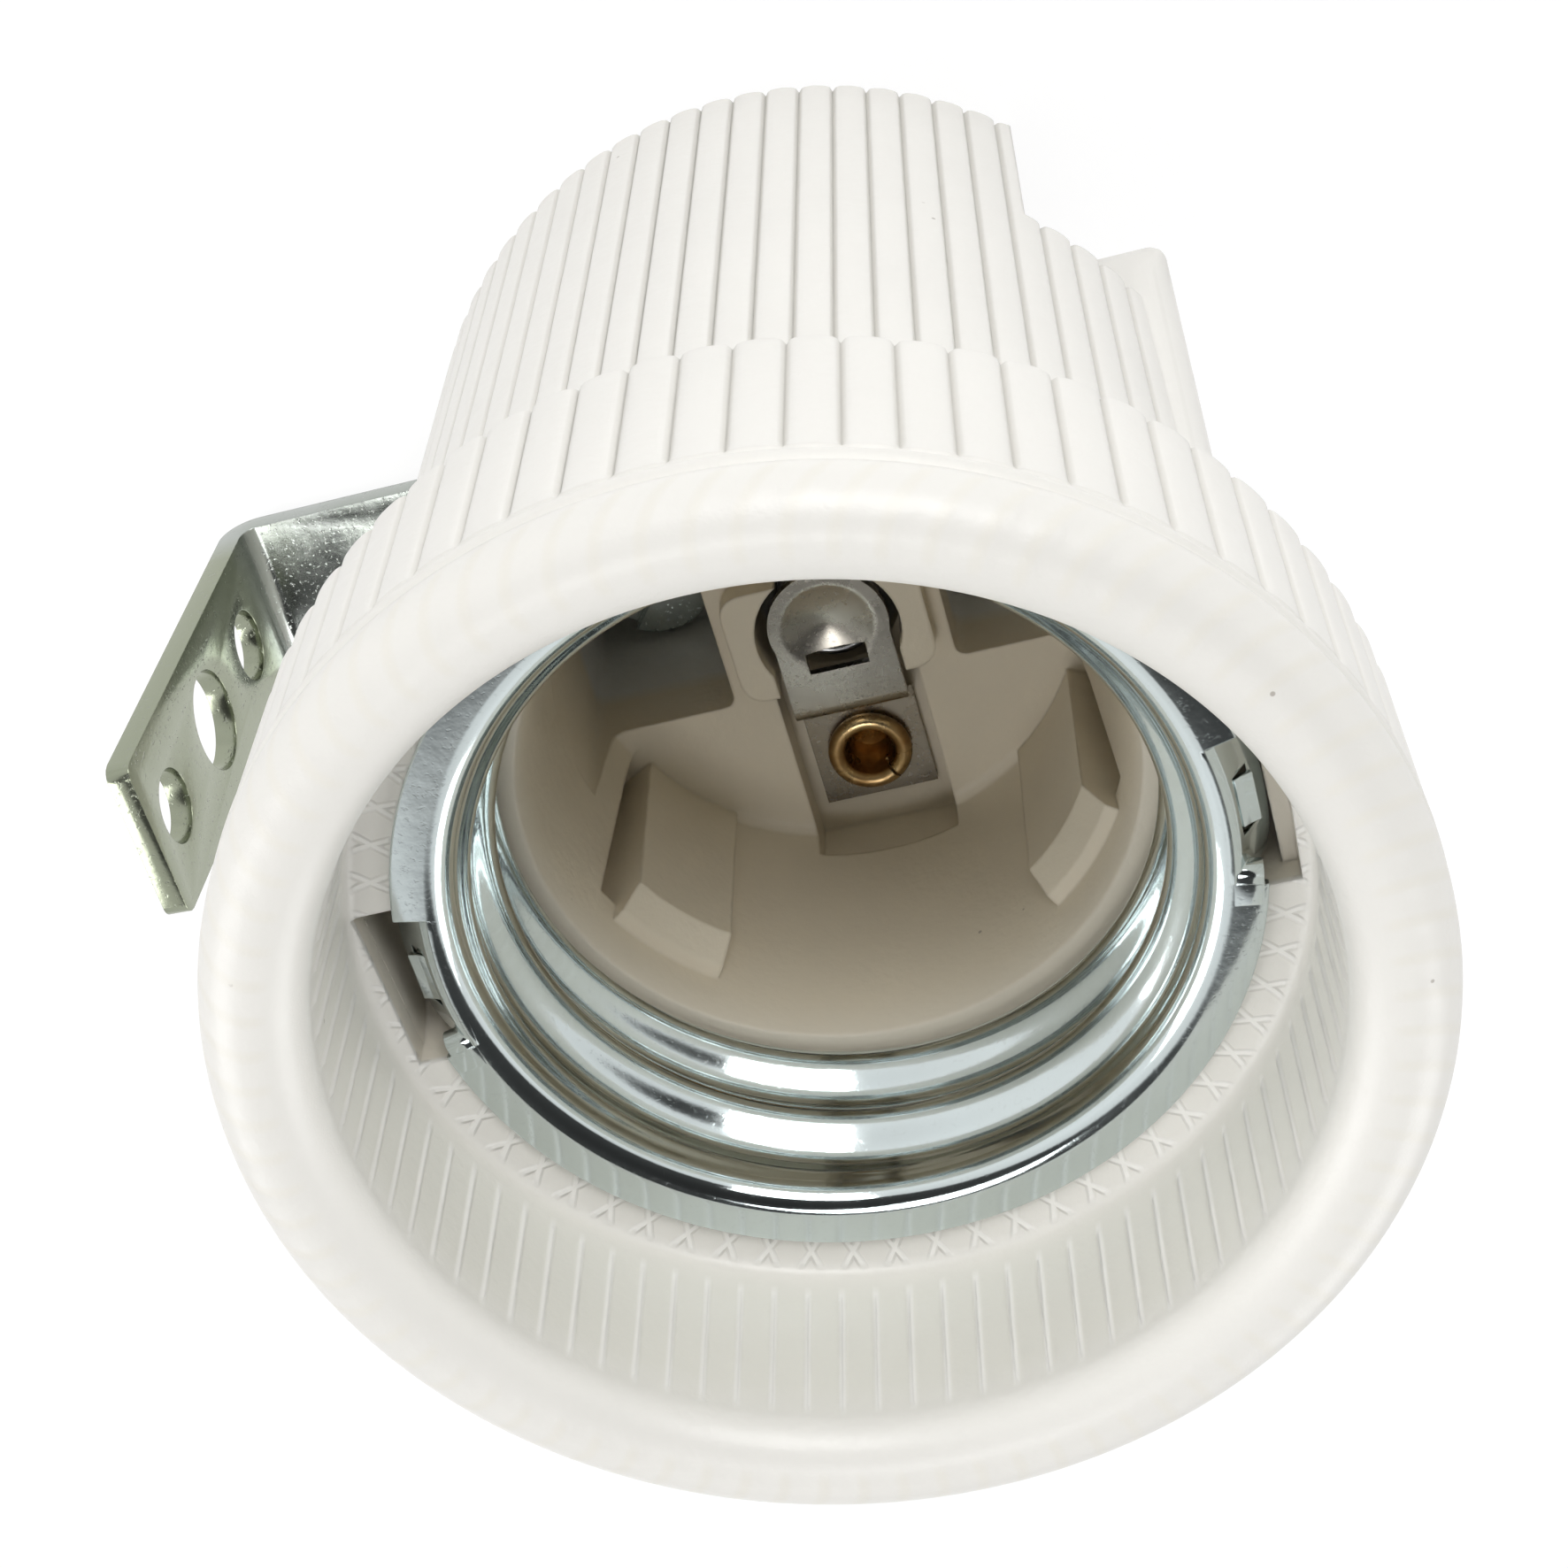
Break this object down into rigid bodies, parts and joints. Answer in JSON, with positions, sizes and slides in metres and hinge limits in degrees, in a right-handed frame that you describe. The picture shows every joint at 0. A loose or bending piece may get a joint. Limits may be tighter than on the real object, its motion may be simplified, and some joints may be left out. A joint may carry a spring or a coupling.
{
  "type": "lamp holder",
  "caption": "Ribbed porcelain screw-lamp holder with a threaded metal shell, sprung centre contact, rear screw terminals and an L-shaped fixing bracket.",
  "frame": {"origin": "on the lamp axis, in the plane of the porcelain's rear face", "axes": "+Z along the lamp axis, out of the mouth; +X towards the bracket's leg; +Y towards the centre contact's rivet"},
  "size_m": [0.05, 0.0418, 0.0454],
  "materials": {
    "porcelain": "warm white, satin, unglazed feel with a fine ribbed skin",
    "zinc_sheet": "bright zinc plated sheet",
    "bracket_steel": "zinc plated strip",
    "zinc_steel": "zinc plated",
    "screw_steel": "zinc plated",
    "contact_nickel": "satin nickel plated",
    "spring_wire": "drawn wire",
    "rivet_brass": "dull brass",
    "terminal_brass": "rolled brass",
    "brass_strip": "nickel plated brass strip"
  },
  "bodies": {
    "holder": {"porcelain_body": "porcelain", "screw_shell": "zinc_sheet", "shell_lead": "brass_strip", "shell_rivet": "rivet_brass", "contact_spring": "spring_wire", "contact_rivet": "rivet_brass", "centre_terminal": "terminal_brass", "shell_terminal": "terminal_brass", "bracket": "bracket_steel", "bracket_screw_outer": "screw_steel", "bracket_screw_inner": "screw_steel", "bracket_washer_outer": "zinc_steel", "bracket_washer_inner": "zinc_steel"},
    "contact": {"contact_strip": "contact_nickel"},
    "centre_clamp": {"centre_clamp_washer": "zinc_steel"},
    "centre_screw": {"centre_terminal_screw": "screw_steel"},
    "shell_clamp": {"shell_clamp_washer": "zinc_steel"},
    "shell_screw": {"shell_terminal_screw": "screw_steel"}
  },
  "joints": [
    {"name": "contact_flex", "type": "hinge", "parent": "holder", "child": "contact", "pos_m": [0, 0.0071, 0.0138], "axis": [1, 0, 0], "range_deg": [0, 8], "stiffness_Nm_per_rad": 0.2, "deforming": ["contact_spring", "contact_strip"]},
    {"name": "centre_clamp_slide", "type": "slide", "parent": "holder", "child": "centre_clamp", "axis": [0, 0, -1], "range_m": [0, 0.0015]},
    {"name": "centre_screw_turn", "type": "hinge", "parent": "centre_clamp", "child": "centre_screw", "pos_m": [-0.0056, 0.0082, 0.0087], "axis": [0, 0, -1], "range_deg": [0, 900]},
    {"name": "shell_clamp_slide", "type": "slide", "parent": "holder", "child": "shell_clamp", "axis": [0, 0, -1], "range_m": [0, 0.0015]},
    {"name": "shell_screw_turn", "type": "hinge", "parent": "shell_clamp", "child": "shell_screw", "pos_m": [-0.0056, -0.0082, 0.0087], "axis": [0, 0, -1], "range_deg": [0, 900]}
  ],
  "couplings": [
    {"joint": "centre_screw_turn", "follows": "centre_clamp_slide", "rad_per_m": 10472},
    {"joint": "shell_screw_turn", "follows": "shell_clamp_slide", "rad_per_m": 10472}
  ]
}
